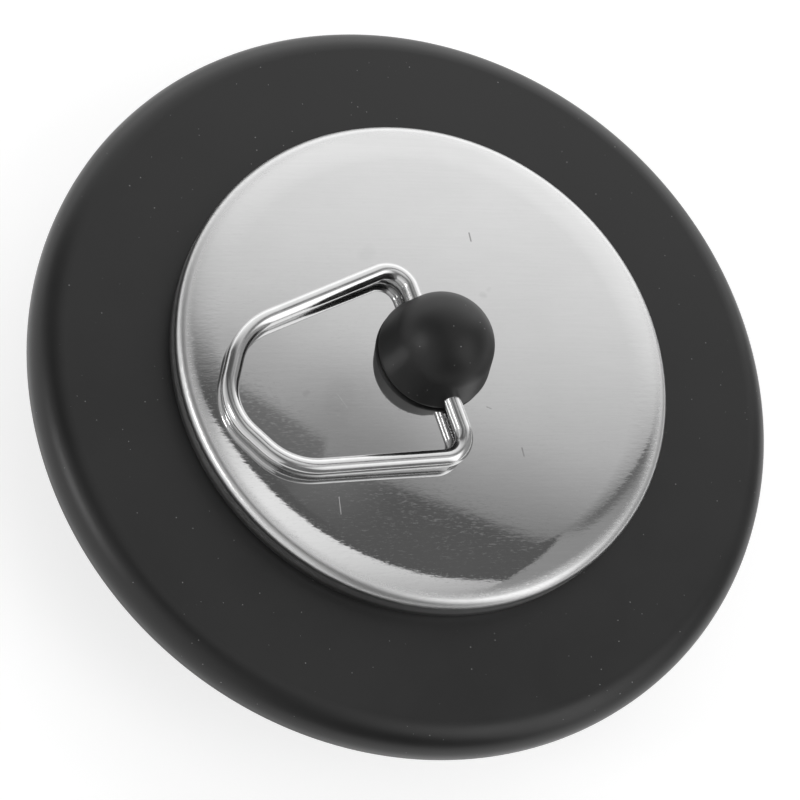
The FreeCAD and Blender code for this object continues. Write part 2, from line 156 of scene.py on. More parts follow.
# Steel's finish. A noise is (cells per metre along and across the brushing and up, detail, roughness),
# and here and below a ramp is (from, to, value before, value after)
BRUSH_ANGLE = math.radians(-12.4)
BRUSH_SPREAD = 0.6
BRUSH_TURN = 0.25
STROKE_NOISE = ((900.0, 2600.0, 900.0), 3.0, 0.6)
STROKE_HEIGHT = 7e-7
SHOULDER_RUFFLE = (SHOULDER_START - 0.5 * MM, SHOULDER_START + 1.0 * MM, 1.0, 4.5)
LINE_NOISE = ((150.0, 5000.0, 150.0), 3.0, 0.65)
LINE_TONE = (0.3, 0.7, 0.618, 0.632)
LINE_ROUGHNESS = (0.3, 0.7, 0.025, 0.035)
FLECK_NOISE = ((2000.0, 8000.0, 2000.0), 1.0, 0.5)
FLECK_ROUGHNESS = (0.5, 0.75, 0.0, 0.075)
CLOUD_NOISE = ((120.0, 160.0, 120.0), 4.0, 0.6)
CLOUD_TONE = (0.3, 0.7, 0.985, 1.015)
CLOUD_SMUDGE = (0.35, 0.6, 0.5, 1.0)
EDGE_ROUGHNESS = (COVER_RADIUS - 2.0 * MM, COVER_RADIUS - 0.5 * MM, 0.0, 0.3)
# Painted shade: the wall's colour darkens towards its foot, where it meets the rubber flange
WALL_FOOT_PAINTED_SHADE = (FLANGE_TOP + 0.3 * MM, FLANGE_TOP + 1.0 * MM, 0.4, 1.0)

# Marks on the cover in millimetres: start, run, half width, and the roughness or the share of tone lost
COVER_SCRATCHES = (
    ((-13.94, -11.31), (-0.35, -1.58), 0.08, 0.24),
    ((-5.74, 17.17), (3.22, -0.53), 0.06, 0.14),
    ((-10.7, -1.72), (0.46, -1.44), 0.07, 0.2),
)
COVER_SMUDGES = (
    ((-3.13, 11.21), (0.5, 0.2), 1.1, 0.05),
    ((-10.07, -1.25), (-1.2, -1.4), 1.8, 0.05),
    ((-13.78, -1.01), (0.3, 0.1), 0.4, 0.07),
    ((7.17, 4.79), (0.2, -0.1), 0.45, 0.1),
    ((7.99, 5.16), (0.2, 0.1), 0.3, 0.06),
    ((8.29, 11.33), (-0.12, -0.86), 0.12, 0.6),
    ((5.44, -10.97), (-0.09, -0.8), 0.12, 0.45),
    ((3.43, -6.27), (0.35, -0.25), 0.1, 0.3),
)
MARK_FADE = (0.2, 1.0, 1.0, 0.0)

# Wire's finish
WIRE_TONES = (0.57, 0.63)
WIRE_ROUGHNESS = (0.14, 0.2)
WIRE_GRAIN_PER_METRE = 6000.0
WIRE_CLOUDS_PER_METRE = 300.0
WIRE_GRAIN_HEIGHT = 8e-7

# Floor
FLOOR_WIDTH = 6.0
FLOOR_TONE = 0.5
FLOOR_LIFT = 0.68

# Photograph's view: the camera's distance from the disc's axis at the flange's top, and its angles
VIEW_DISTANCE = 240.05 * MM
VIEW_AZIMUTH = math.radians(-57.9)
VIEW_ELEVATION = math.radians(60.05)
VIEW_ROLL = math.radians(41.38)
VIEW_LENS = 112.4
VIEW_SENSOR = 36.0
VIEW_SHIFT = (-0.0265, -0.04025)
VIEW_NEAREST = 0.01

# Studio, on a card square to the mirrored view: x to the right and y upwards, as tangents. A line is its
# height at x = 0 and its fall for each x
CARD_ELEVATION = math.radians(60)
CARD_NEAREST = 0.05
WALL_LIGHT = 1.2
WALL_DIMMING = 4.3
WALL_BRIGHTEST = -0.194
WALL_RISE_LIMIT = 0.5
WALL_BOW = 0.88
WALL_BOW_START = -0.34
WALL_UNDER_EDGE = (-0.09, 0.0, 1.0, 0.77)
WALL_LOW = (-0.65, -0.3, 0.5, 0.0)
WALL_SPOT_HEIGHT = 0.065
WALL_SPOT = (0.01, 0.07, 0.78, 1.0)
WALL_EDGE_RIGHT = (0.097, 0.43)
WALL_EDGE_LEFT = (0.088, 0.15)
WALL_EDGE_FAR_LEFT = (0.02, 0.88)
WALL_EDGE_STEP = (-0.015, -0.009)
WALL_EDGE_SOFTNESS = 0.003
WALL_EDGE_SOFT_START = -0.09
WALL_EDGE_SOFTENING = 0.5
GAP_LIGHT = 0.135
GAP_GLOW = (0.0, 0.07, 0.085, 0.0)
GAP_GLOW_END = (0.0, 0.05, 1.0, 0.0)
ROOF_EDGE = (0.237, 0.3)
ROOF_EDGE_STEP = (-0.003, 0.003)
ROOF_ACROSS = (-0.05, 0.3, 1.2, 0.62)
ROOF_LEFT_END = (-0.3, -0.03, 0.35, 1.0)
ROOF_TOP_START = (0.36, 0.6)
ROOF_TOP_LIGHT = 0.95
SIDE_TIP = (0.142, 0.03)
SIDE_BOW = 0.33
SIDE_EDGE_STEP = (-0.004, 0.004)
SIDE_LIGHT = 0.39
GLINT_LIGHT = 2.0
GLINT_START_X = (0.33, 0.6)
GLINT_START_Y = (-0.05, 0.15)
CORNER_LIGHT = 0.2
CORNER_END_Y = (0.0, 0.04, 1.0, 0.0)
CORNER_END_SIDE = (0.02, 0.08, 1.0, 0.0)
BEHIND_DIMMING = (-0.25, 0.12, 0.56, 1.0)
LAMP_RIGHT = -0.59
LAMP_AHEAD = -0.69
LAMP_UP = 0.41
LAMP_OUTER_ANGLE = 0.12
LAMP_INNER_ANGLE = 0.06
LAMP_LIGHT = 15.0


def rounded_outline(corners):
    """Closed outline in (radius, height) from corners given as (radius, height, round).

    A round corner becomes an arc that touches both of its sides. The arc's ends lie
    round * tan(half the turn) back along the sides, its centre lies round to the inner side of the
    first end, and its points swing about that centre by even shares of the turn. One more point on
    each side, a hold away from the arc, keeps the flats flat under smooth shading.
    """
    corners = np.asarray(corners, float)
    place, size = corners[:, :2], corners[:, 2]
    inward = place - np.roll(place, 1, axis=0)
    inward /= np.linalg.norm(inward, axis=1, keepdims=True)
    onward = np.roll(inward, -1, axis=0)
    cross = inward[:, 0] * onward[:, 1] - inward[:, 1] * onward[:, 0]
    turn = np.arctan2(cross, (inward * onward).sum(1))
    setback = size * np.tan(np.abs(turn) / 2)
    first = place - inward * setback[:, None]
    last = place + onward * setback[:, None]
    side = np.sign(turn)[:, None] * np.stack([-inward[:, 1], inward[:, 0]], 1)
    centre = first + side * size[:, None]
    swing = turn[:, None] * np.linspace(0, 1, ROUND_STEPS)
    spoke = (first - centre)[:, None, :]
    arc = centre[:, None, :] + np.stack(
        [
            np.cos(swing) * spoke[..., 0] - np.sin(swing) * spoke[..., 1],
            np.sin(swing) * spoke[..., 0] + np.cos(swing) * spoke[..., 1],
        ],
        -1,
    )
    before = (first - inward * FLAT_HOLD)[:, None, :]
    after = (last + onward * FLAT_HOLD)[:, None, :]
    points = np.concatenate([before, arc, after], 1).reshape(-1, 2)
    apart = np.linalg.norm(points - np.roll(points, 1, axis=0), axis=1)
    return points[apart > SAME_POINT]


def wrapped_quads(rows, columns):
    """Quads of a grid whose rows and columns both join up end to end."""
    index = np.arange(rows * columns).reshape(rows, columns)
    down = np.roll(index, -1, axis=0)
    return np.stack([index, down, np.roll(down, -1, axis=1), np.roll(index, -1, axis=1)], -1).reshape(-1, 4)


def turned(outline, steps):
    """An outline carried once round the vertical axis: x = r cos a, y = r sin a, z = height."""
    angle = np.linspace(0, 2 * np.pi, steps, endpoint=False)[:, None]
    radius, height = outline.T
    points = np.stack(
        [np.cos(angle) * radius, np.sin(angle) * radius, np.broadcast_to(height, (steps, len(height)))], -1
    )
    return points.reshape(-1, 3), wrapped_quads(steps, len(outline))


def new_mesh(name, points, faces):
    """A smooth-shaded mesh whose faces point outwards, with creases at its sharp corners."""
    mesh = bpy.data.meshes.new(name)
    mesh.from_pydata(points.tolist(), [], [list(face) for face in faces])
    corner = points[np.array([face[:3] for face in faces])]
    volume = np.einsum("ij,ij->i", corner[:, 0], np.cross(corner[:, 1], corner[:, 2])).sum()
    if volume < 0:
        mesh.flip_normals()
    mesh.shade_smooth()
    mesh.set_sharp_from_angle(angle=CREASE_ANGLE)
    return mesh


def new_piece(mesh, body, node, material):
    """A piece that stands for a CAD node, rides on its body and has one material."""
    piece = bpy.data.objects.new(mesh.name, mesh)
    bpy.context.scene.collection.objects.link(piece)
    mesh.materials.append(material)
    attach(piece, body)
    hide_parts(node)


def disc_mesh():
    """The rubber disc: a section of flange, boss, hollow tapered spigot and socket, turned once."""
    under = FLANGE_TOP - FLANGE_THICKNESS
    boss_radius = COVER_RADIUS - SHEET - BOSS_GAP
    socket_top = under + SOCKET_DEPTH
    corners = [
        (NECK_HOLE_RADIUS, BOSS_TOP - BOSS_HOLE_DROP, 0),
        (NECK_HOLE_RADIUS, socket_top, 0),
        (SOCKET_RADIUS, socket_top, 0),
        (SOCKET_RADIUS, under, SMALL_ROUND),
        (SPIGOT_TOP_RADIUS - SPIGOT_WALL, under, HOLLOW_ROUND),
        (SPIGOT_LIP_RADIUS - SPIGOT_WALL, 0, SMALL_ROUND),
        (SPIGOT_LIP_RADIUS, 0, SPIGOT_LIP_ROUND),
        (SPIGOT_TOP_RADIUS, under, SMALL_ROUND),
        (DISC_RADIUS, under, FLANGE_UNDER_ROUND),
        (DISC_RADIUS, FLANGE_TOP, FLANGE_TOP_ROUND),
        (boss_radius, FLANGE_TOP, 0),
        (boss_radius, BOSS_TOP - BOSS_EDGE_DROP, SMALL_ROUND),
        (SHOULDER_START, BOSS_TOP - BOSS_SHOULDER_DROP, 0),
    ]
    points, faces = turned(rounded_outline(corners), TURN_STEPS)
    return new_mesh("rubber_disc", points, faces)


def leaning(lean):
    """The direction, in radius and height, that leans outwards from upright by an angle: (sin, cos)."""
    return np.array([math.sin(lean), math.cos(lean)])


def cover_outline():
    """Section of the pressed cover: its outer face from the hole to the foot, then the inner face back.

    Three arcs, each touching the next from inside: the crown about a centre on the axis, the shoulder
    and the edge. A point at lean t from upright lies at centre + radius * (sin t, cos t). The upright
    wall follows. The inner face lies one sheet's thickness inside, square to the outer.
    """
    crown_radius = (COVER_RADIUS**2 + COVER_CROWN**2) / (2 * COVER_CROWN)
    hole_lean = math.asin(NECK_HOLE_RADIUS / crown_radius)
    crown_centre = np.array([0.0, COVER_TOP - crown_radius * math.cos(hole_lean)])
    shoulder_lean = math.asin(SHOULDER_START / crown_radius)
    shoulder_centre = crown_centre + (crown_radius - SHOULDER_ROUND) * leaning(shoulder_lean)
    edge_spoke = SHOULDER_ROUND - COVER_EDGE_ROUND
    edge_lean = math.asin((COVER_RADIUS - COVER_EDGE_ROUND - shoulder_centre[0]) / edge_spoke)
    edge_centre = shoulder_centre + edge_spoke * leaning(edge_lean)
    arcs = (
        (crown_centre, crown_radius, hole_lean, shoulder_lean),
        (shoulder_centre, SHOULDER_ROUND, shoulder_lean, edge_lean),
        (edge_centre, COVER_EDGE_ROUND, edge_lean, math.pi / 2),
    )
    leans = [np.linspace(first, last, COVER_ARC_STEPS)[1:] for _, _, first, last in arcs]
    lean = np.concatenate([[hole_lean], *leans])
    middle = np.repeat([centre for centre, _, _, _ in arcs], COVER_ARC_STEPS - 1, axis=0)
    middle = np.concatenate([crown_centre[None], middle])
    size = np.repeat([radius for _, radius, _, _ in arcs], COVER_ARC_STEPS - 1)
    size = np.concatenate([[crown_radius], size])
    outward = np.stack([np.sin(lean), np.cos(lean)], 1)
    top = middle + size[:, None] * outward
    wall_height = np.linspace(edge_centre[1] - COVER_WALL_HOLD, FLANGE_TOP, COVER_WALL_STEPS)
    wall = np.stack([np.full(COVER_WALL_STEPS, COVER_RADIUS), wall_height], 1)
    outer = np.concatenate([top, wall])
    inner = outer - SHEET * np.concatenate([outward, np.tile([1.0, 0.0], (COVER_WALL_STEPS, 1))])
    inner[:, 0] = np.maximum(inner[:, 0], NECK_HOLE_RADIUS)
    return np.concatenate([outer, inner[::-1]])


def cover_mesh():
    """The pressed cover, turned once, with a flat map whose first axis runs along the brushing."""
    points, faces = turned(cover_outline(), TURN_STEPS)
    mesh = new_mesh("steel_cover", points, faces)
    along = np.array([math.cos(BRUSH_ANGLE), math.sin(BRUSH_ANGLE)])
    across = np.array([-along[1], along[0]])
    flat = np.stack([points[:, :2] @ along, points[:, :2] @ across], 1) / (2 * COVER_RADIUS) + 0.5
    corner_points = np.empty(len(mesh.loops), np.int32)
    mesh.loops.foreach_get("vertex_index", corner_points)
    layer = mesh.uv_layers.new(name="brushing")
    layer.data.foreach_set("uv", flat[corner_points].ravel().astype(np.float32))
    return mesh


def knob_outline():
    """Section of the knob: barbed tail, neck, drafted wall and round nose, whose arc the wall touches."""
    seat = COVER_TOP
    shoulder = FLANGE_TOP - FLANGE_THICKNESS + SOCKET_DEPTH
    nose_centre = KNOB_TOP - NOSE_RADIUS
    rise = nose_centre - seat
    lean = math.acos(NOSE_RADIUS / math.hypot(FOOT_RADIUS, rise)) - math.atan2(rise, FOOT_RADIUS)
    lower = rounded_outline(
        [
            (TAIL_CAP_RADIUS, TAIL_END, 0),
            (BARB_TIP_RADIUS, TAIL_END, SMALL_ROUND),
            (BARB_RADIUS, shoulder - BARB_LAND, SMALL_ROUND),
            (BARB_RADIUS, shoulder, 0),
            (NECK_RADIUS, shoulder, 0),
            (NECK_RADIUS, seat, 0),
            (FOOT_RADIUS, seat, FOOT_ROUND),
            (NOSE_RADIUS * math.cos(lean), nose_centre + NOSE_RADIUS * math.sin(lean), 0),
        ]
    )
    wall_end = np.argmax(lower[:, 1])
    lower = lower[: wall_end + 1]
    angle = np.linspace(lean, np.pi / 2, NOSE_STEPS)[1:]
    nose = np.stack([NOSE_RADIUS * np.cos(angle), nose_centre + NOSE_RADIUS * np.sin(angle)], 1)
    return np.concatenate([lower, nose])


def capped_turn(outline, steps):
    """An open outline carried once round the vertical axis, with its two end rings closed by flat caps."""
    points, faces = turned(outline, steps)
    index = np.arange(steps * len(outline)).reshape(steps, len(outline))
    kept = faces.reshape(steps, len(outline), 4)[:, :-1].reshape(-1, 4)
    caps = [index[::-1, 0].tolist(), index[:, -1].tolist()]
    return points, kept.tolist() + caps


def ring_hole_mesh():
    """The cross hole as a solid along Y: a round bar that flares by a lip's width past the knob's wall.

    Its radius is the hole's, and grows with the square of the way past the start of the lip.
    """
    end = FOOT_RADIUS + HOLE_OVERRUN
    reach = np.linspace(-end, end, HOLE_RINGS)
    past = np.clip(np.abs(reach) - (FOOT_RADIUS - 2 * HOLE_LIP), 0, None)
    radius = RING_HOLE_RADIUS + past**2 / (2 * HOLE_LIP)
    points, faces = capped_turn(np.stack([radius, reach], 1), HOLE_TURN_STEPS)
    points = np.stack([hinge.x + points[:, 0], points[:, 2], hinge.z + RING_HOLE_LIFT + points[:, 1]], 1)
    return new_mesh("ring_hole", points, faces)


def knob_mesh():
    """The knob's section turned once, less the cross hole."""
    points, faces = capped_turn(knob_outline(), KNOB_TURN_STEPS)
    knob = bpy.data.objects.new("knob_blank", new_mesh("knob_blank", points, faces))
    hole = bpy.data.objects.new("ring_hole", ring_hole_mesh())
    for blank in (knob, hole):
        bpy.context.scene.collection.objects.link(blank)
    cut = knob.modifiers.new("ring_hole", "BOOLEAN")
    cut.operation = "DIFFERENCE"
    cut.solver = "EXACT"
    cut.object = hole
    bpy.context.view_layer.update()
    mesh = bpy.data.meshes.new_from_object(knob.evaluated_get(bpy.context.evaluated_depsgraph_get()))
    mesh.name = "rubber_knob"
    for blank in (knob, hole):
        bpy.data.objects.remove(blank)
    mesh.shade_smooth()
    mesh.set_sharp_from_angle(angle=CREASE_ANGLE)
    return mesh


def round_pin(pin, first, last, steps):
    """Points on a pin's circle, given as (across, along, radius), from one angle to another."""
    angle = np.linspace(first, last, steps)
    return np.array(pin[:2]) + pin[2] * np.stack([np.cos(angle), np.sin(angle)], 1)


def outward_angle(first, second):
    """The side on which a wire touches two pins as it runs from one to the other, as an angle.

    It lies before the line between the pins' middles by the angle whose cosine is the difference of
    the radii over that line's length.
    """
    across, along = second[0] - first[0], second[1] - first[1]
    turn = math.acos((first[2] - second[2]) / math.hypot(across, along))
    return (math.atan2(along, across) - turn) % (2 * math.pi)


def ring_path():
    """Centre line of the bent wire in its own plane, from one end in the knob round to the other.

    A leg on the hole's axis, then straight stretches between bends round three pins, the last of which
    is the blunt point; the other half is the mirror image.
    """
    reach = hinge.x - ring_low.x - WIRE_RADIUS
    leg_pin = (-RING_BEND_RADIUS, RING_LEG_END, RING_BEND_RADIUS)
    shoulder_pin = (-RING_SHOULDER_REACH, RING_SHOULDER_SPREAD / 2, RING_SHOULDER_RADIUS)
    point_pin = (RING_POINT_RADIUS - reach, 0.0, RING_POINT_RADIUS)
    side = outward_angle(leg_pin, shoulder_pin)
    slant = outward_angle(shoulder_pin, point_pin)
    leg = np.stack([np.zeros(LEG_STEPS), np.linspace(RING_END_GAP / 2, RING_LEG_END, LEG_STEPS)], 1)
    bends = (
        round_pin(leg_pin, 0, side, LEG_BEND_STEPS),
        round_pin(shoulder_pin, side, slant, FAR_BEND_STEPS),
        round_pin(point_pin, slant, math.pi, FAR_BEND_STEPS),
    )
    half = [leg[:-1], bends[0]]
    for before, after in zip(bends, bends[1:]):
        share = np.linspace(0, 1, STRAIGHT_STEPS)[1:-1, None]
        half += [before[-1] + share * (after[0] - before[-1]), after]
    half = np.concatenate(half)
    return np.concatenate([half, half[-2::-1] * [1, -1]])


def ring_mesh():
    """A round wire along the ring's path: about each point, a circle square to the path.

    The circles' radius drops at both ends, for the wire's clipped tips. The ring then dips about the
    hole's axis until its far end lies just above the cover.
    """
    path = ring_path()
    step = np.diff(path, axis=0)
    step /= np.linalg.norm(step, axis=1, keepdims=True)
    along = np.concatenate([step[:1], step[:-1] + step[1:], step[-1:]])
    along /= np.linalg.norm(along, axis=1, keepdims=True)
    sideways = np.stack([along[:, 1], -along[:, 0]], 1)
    radius = np.full(len(path), WIRE_RADIUS)
    radius[[0, -1]] *= WIRE_TIP_SHARE
    around = np.linspace(0, 2 * np.pi, WIRE_SIDES, endpoint=False)
    across = radius[:, None] * np.cos(around)
    flat = path[:, None, :] + across[..., None] * sideways[:, None, :]
    rise = radius[:, None] * np.sin(around)
    far_drop = hinge.z - (ring_low.z + WIRE_RADIUS)
    dip = math.atan2(far_drop, hinge.x - ring_low.x - WIRE_RADIUS)
    shift = (ring_low.y + ring_high.y) / 2
    points = np.stack(
        [
            hinge.x + flat[..., 0] * math.cos(dip) - rise * math.sin(dip),
            flat[..., 1] + shift,
            hinge.z + flat[..., 0] * math.sin(dip) + rise * math.cos(dip),
        ],
        -1,
    )
    rows, columns = points.shape[:2]
    index = np.arange(rows * columns).reshape(rows, columns)
    quads = wrapped_quads(rows, columns).reshape(rows, columns, 4)[:-1].reshape(-1, 4).tolist()
    caps = [index[0].tolist(), index[-1, ::-1].tolist()]
    return new_mesh("wire_ring", points.reshape(-1, 3), quads + caps)


def feed(tree, socket, value):
    """A link into a socket, or the socket's own value."""
    if isinstance(value, bpy.types.NodeSocket):
        tree.links.new(value, socket)
    else:
        socket.default_value = value


def add_node(tree, kind, inputs=None, **settings):
    """A node with its settings, and with a value or a link on each input that is named."""
    made = tree.nodes.new(kind)
    for name, value in settings.items():
        setattr(made, name, value)
    for name, value in (inputs or {}).items():
        feed(tree, made.inputs[name], value)
    return made


def math_node(tree, operation, first, second=0.0, clamp=False):
    """The value of one sum on two numbers or sockets."""
    made = add_node(tree, "ShaderNodeMath", {0: first, 1: second}, operation=operation, use_clamp=clamp)
    return made.outputs[0]


def plus(tree, first, second):
    """One value and another."""
    return math_node(tree, "ADD", first, second)


def less(tree, first, second):
    """One value with another taken off."""
    return math_node(tree, "SUBTRACT", first, second)


def times(tree, first, second):
    """One value times another."""
    return math_node(tree, "MULTIPLY", first, second)


def over(tree, first, second, clamp=False):
    """One value divided by another, held between 0 and 1 if asked."""
    return math_node(tree, "DIVIDE", first, second, clamp)


def larger(tree, first, second):
    """The larger of two values."""
    return math_node(tree, "MAXIMUM", first, second)


def vector_node(tree, operation, first, second, output="Vector"):
    """The result of one sum on two vectors."""
    made = add_node(tree, "ShaderNodeVectorMath", {0: first, 1: second}, operation=operation)
    return made.outputs[output]


def ramp_between(tree, value, low, high, to_low=0.0, to_high=1.0):
    """A value carried smoothly from one range to another, and held at its ends."""
    made = add_node(
        tree,
        "ShaderNodeMapRange",
        {"Value": value, "From Min": low, "From Max": high, "To Min": to_low, "To Max": to_high},
        interpolation_type="SMOOTHSTEP",
    )
    return made.outputs["Result"]


def blend(tree, share, first, second):
    """A number that goes from the first value to the second."""
    made = add_node(tree, "ShaderNodeMix", {0: share, 2: first, 3: second}, data_type="FLOAT")
    return made.outputs[0]


def mix_colour(tree, share, first, second):
    """A colour that goes from the first to the second."""
    made = add_node(tree, "ShaderNodeMix", data_type="RGBA")
    sockets = {socket.identifier: socket for socket in made.inputs}
    feed(tree, sockets["Factor_Float"], share)
    feed(tree, sockets["A_Color"], first)
    feed(tree, sockets["B_Color"], second)
    return next(socket for socket in made.outputs if socket.identifier == "Result_Color")


def grey(level):
    """An even colour of one level."""
    return (level, level, level, 1.0)


def piece_place(tree):
    """The place on a piece, in the part's own frame."""
    return add_node(tree, "ShaderNodeTexCoord").outputs["Object"]


def level_place(tree, place):
    """A place with its height taken out."""
    return vector_node(tree, "MULTIPLY", place, (1.0, 1.0, 0.0))


def noise(tree, place, scale, detail, roughness):
    """Even noise with so many cells per metre."""
    inputs = {"Vector": place, "Scale": scale, "Detail": detail, "Roughness": roughness}
    return add_node(tree, "ShaderNodeTexNoise", inputs).outputs["Fac"]


def stretched_noise(tree, place, stretch, detail, roughness):
    """Noise in coordinates that are scaled by their own factor along each axis."""
    return noise(tree, vector_node(tree, "MULTIPLY", place, stretch), 1.0, detail, roughness)


def new_group(name, inputs, outputs):
    """An empty shader node group with named sockets, vectors where they start with three numbers.

    Returns it with its own input and output nodes.
    """
    group = bpy.data.node_groups.new(name, "ShaderNodeTree")
    for label, start in inputs.items():
        kind = "NodeSocketVector" if isinstance(start, tuple) else "NodeSocketFloat"
        socket = group.interface.new_socket(label, in_out="INPUT", socket_type=kind)
        socket.default_value = start
    for label in outputs:
        group.interface.new_socket(label, in_out="OUTPUT", socket_type="NodeSocketFloat")
    return group, group.nodes.new("NodeGroupInput"), group.nodes.new("NodeGroupOutput")


def specks_group():
    """Sparse pale grains: one ball in each cell of a random lattice, kept in a share of the cells.

    The mask is 1 within the grain's radius of the ball's middle. A cell's own radius, in cells, is the
    given one times the square of a random number.
    """
    group, given, put = new_group(
        "dust_specks", {"Cells per metre": 1500.0, "Share": 0.6, "Radius": 0.1}, ["Mask"]
    )
    inputs = {"Vector": piece_place(group), "Scale": given.outputs["Cells per metre"]}
    cells = add_node(group, "ShaderNodeTexVoronoi", inputs, feature="F1")
    chance = add_node(group, "ShaderNodeSeparateColor", {"Color": cells.outputs["Color"]}).outputs
    kept = math_node(group, "LESS_THAN", chance["Red"], given.outputs["Share"])
    own = times(group, given.outputs["Radius"], math_node(group, "POWER", chance["Green"], 2.0))
    inside = math_node(group, "LESS_THAN", cells.outputs["Distance"], own)
    group.links.new(times(group, kept, inside), put.inputs["Mask"])
    return group


def skin_group():
    """A skin with a fine grain for the bump, and slow clouds where handling has dulled the surface."""
    group, given, put = new_group(
        "moulded_skin", {"Grain per metre": 9000.0, "Clouds per metre": 60.0}, ["Grain", "Clouds"]
    )
    place = piece_place(group)
    grain = noise(group, place, given.outputs["Grain per metre"], *SKIN_GRAIN)
    clouds = noise(group, place, given.outputs["Clouds per metre"], *SKIN_CLOUDS)
    group.links.new(grain, put.inputs["Grain"])
    group.links.new(ramp_between(group, clouds, *SKIN_CLOUDS_FADE), put.inputs["Clouds"])
    return group


def mark_group():
    """A short straight mark on a level face: its mask is 1 on a line and fades to 0 at its half width.

    The nearest point of the line lies at start + share * run, where share is the place's offset from
    the start along the run, over the run's squared length, held between 0 and 1.
    """
    group, given, put = new_group(
        "straight_mark", {"Start": (0.0, 0.0, 0.0), "Run": (MM, 0.0, 0.0), "Half width": 0.1 * MM}, ["Mask"]
    )
    level = level_place(group, piece_place(group))
    offset = vector_node(group, "SUBTRACT", level, given.outputs["Start"])
    run = given.outputs["Run"]
    along = vector_node(group, "DOT_PRODUCT", offset, run, "Value")
    share = over(group, along, vector_node(group, "DOT_PRODUCT", run, run, "Value"), clamp=True)
    nearest = add_node(group, "ShaderNodeVectorMath", {0: run, "Scale": share}, operation="SCALE")
    gap = vector_node(group, "DISTANCE", offset, nearest.outputs["Vector"], "Value")
    mask = ramp_between(group, over(group, gap, given.outputs["Half width"]), *MARK_FADE)
    group.links.new(mask, put.inputs["Mask"])
    return group


def place_group(tree, group, **values):
    """A group's node, with values on its inputs; an underscore in a name stands for a space."""
    made = add_node(tree, "ShaderNodeGroup", node_tree=group)
    for label, value in values.items():
        made.inputs[label.replace("_", " ")].default_value = value
    return made


def new_material(name):
    """A material with its node tree and its shader."""
    material = bpy.data.materials.new(name)
    material.use_nodes = True
    tree = material.node_tree
    return material, tree, tree.nodes["Principled BSDF"]


def add_bump(tree, shader, height, distance):
    """Bump on a shader, from a height of which 1 stands for the given distance."""
    bump = add_node(tree, "ShaderNodeBump", {"Height": height, "Distance": distance, "Strength": 1.0})
    tree.links.new(bump.outputs["Normal"], shader.inputs["Normal"])


def rubber(name, specks, skin, tones, roughness, specular):
    """Black rubber: deep base, clouded gloss, a fine moulded grain and pale grains of dust."""
    material, tree, shader = new_material(name)
    surface = place_group(tree, skin).outputs
    dust = place_group(tree, specks).outputs["Mask"]
    clouded = mix_colour(tree, surface["Clouds"], grey(tones[0]), grey(tones[1]))
    tree.links.new(mix_colour(tree, dust, clouded, grey(DUST_TONE)), shader.inputs["Base Color"])
    gloss = ramp_between(tree, surface["Clouds"], 0.0, 1.0, *roughness)
    gloss = larger(tree, gloss, times(tree, dust, DUST_ROUGHNESS))
    tree.links.new(gloss, shader.inputs["Roughness"])
    add_bump(tree, shader, surface["Grain"], RUBBER_GRAIN_HEIGHT)
    shader.inputs["Specular IOR Level"].default_value = specular
    return material


def strongest_mark(tree, group, marks):
    """The greatest of several marks at each place, each given as a row of the lists of marks."""
    strongest = 0.0
    for start, run, half_width, strength in marks:
        mark = place_group(
            tree,
            group,
            Start=(start[0] * MM, start[1] * MM, 0.0),
            Run=(run[0] * MM, run[1] * MM, 0.0),
            Half_width=half_width * MM,
        )
        faded = times(tree, mark.outputs["Mask"], strength)
        strongest = larger(tree, faded, strongest)
    return strongest


def brushed_steel(mark):
    """Bright steel with straight brushing: short strokes for the bump, long lines for tone and gloss.

    Fine flecks are rougher than the rest of the face, and the face has a few scratches and smudges. The
    strokes are deeper on the shoulder, the drawn edge is duller, and painted shade darkens the wall's foot.
    """
    material, tree, shader = new_material("brushed_steel")
    place = piece_place(tree)
    turning = {"Vector": place, "Rotation": (0.0, 0.0, -BRUSH_ANGLE)}
    brushed = add_node(tree, "ShaderNodeMapping", turning).outputs["Vector"]
    strokes = stretched_noise(tree, brushed, *STROKE_NOISE)
    lines = stretched_noise(tree, brushed, *LINE_NOISE)
    flecks = stretched_noise(tree, brushed, *FLECK_NOISE)
    clouds = stretched_noise(tree, brushed, *CLOUD_NOISE)
    height = add_node(tree, "ShaderNodeSeparateXYZ", {"Vector": place}).outputs["Z"]
    radius = vector_node(tree, "DISTANCE", level_place(tree, place), (0.0, 0.0, 0.0), "Value")

    tone = times(tree, ramp_between(tree, lines, *LINE_TONE), ramp_between(tree, clouds, *CLOUD_TONE))
    smudge = strongest_mark(tree, mark, COVER_SMUDGES)
    smudge = times(tree, smudge, ramp_between(tree, clouds, *CLOUD_SMUDGE))
    tone = times(tree, tone, less(tree, 1.0, smudge))
    # Painted shade at the foot of the wall, where it meets the rubber
    tone = times(tree, tone, ramp_between(tree, height, *WALL_FOOT_PAINTED_SHADE))
    colour = add_node(tree, "ShaderNodeCombineColor", {"Red": tone, "Green": tone, "Blue": tone})
    tree.links.new(colour.outputs["Color"], shader.inputs["Base Color"])

    gloss = ramp_between(tree, lines, *LINE_ROUGHNESS)
    gloss = plus(tree, gloss, ramp_between(tree, radius, *EDGE_ROUGHNESS))
    gloss = plus(tree, gloss, ramp_between(tree, flecks, *FLECK_ROUGHNESS))
    gloss = larger(tree, gloss, strongest_mark(tree, mark, COVER_SCRATCHES))
    tree.links.new(gloss, shader.inputs["Roughness"])

    stroke = times(tree, less(tree, strokes, 0.5), ramp_between(tree, radius, *SHOULDER_RUFFLE))
    add_bump(tree, shader, stroke, STROKE_HEIGHT)
    shader.inputs["Metallic"].default_value = 1.0
    shader.inputs["Anisotropic"].default_value = BRUSH_SPREAD
    shader.inputs["Anisotropic Rotation"].default_value = BRUSH_TURN
    tangent = add_node(tree, "ShaderNodeTangent", direction_type="UV_MAP", uv_map="brushing")
    tree.links.new(tangent.outputs["Tangent"], shader.inputs["Tangent"])
    return material


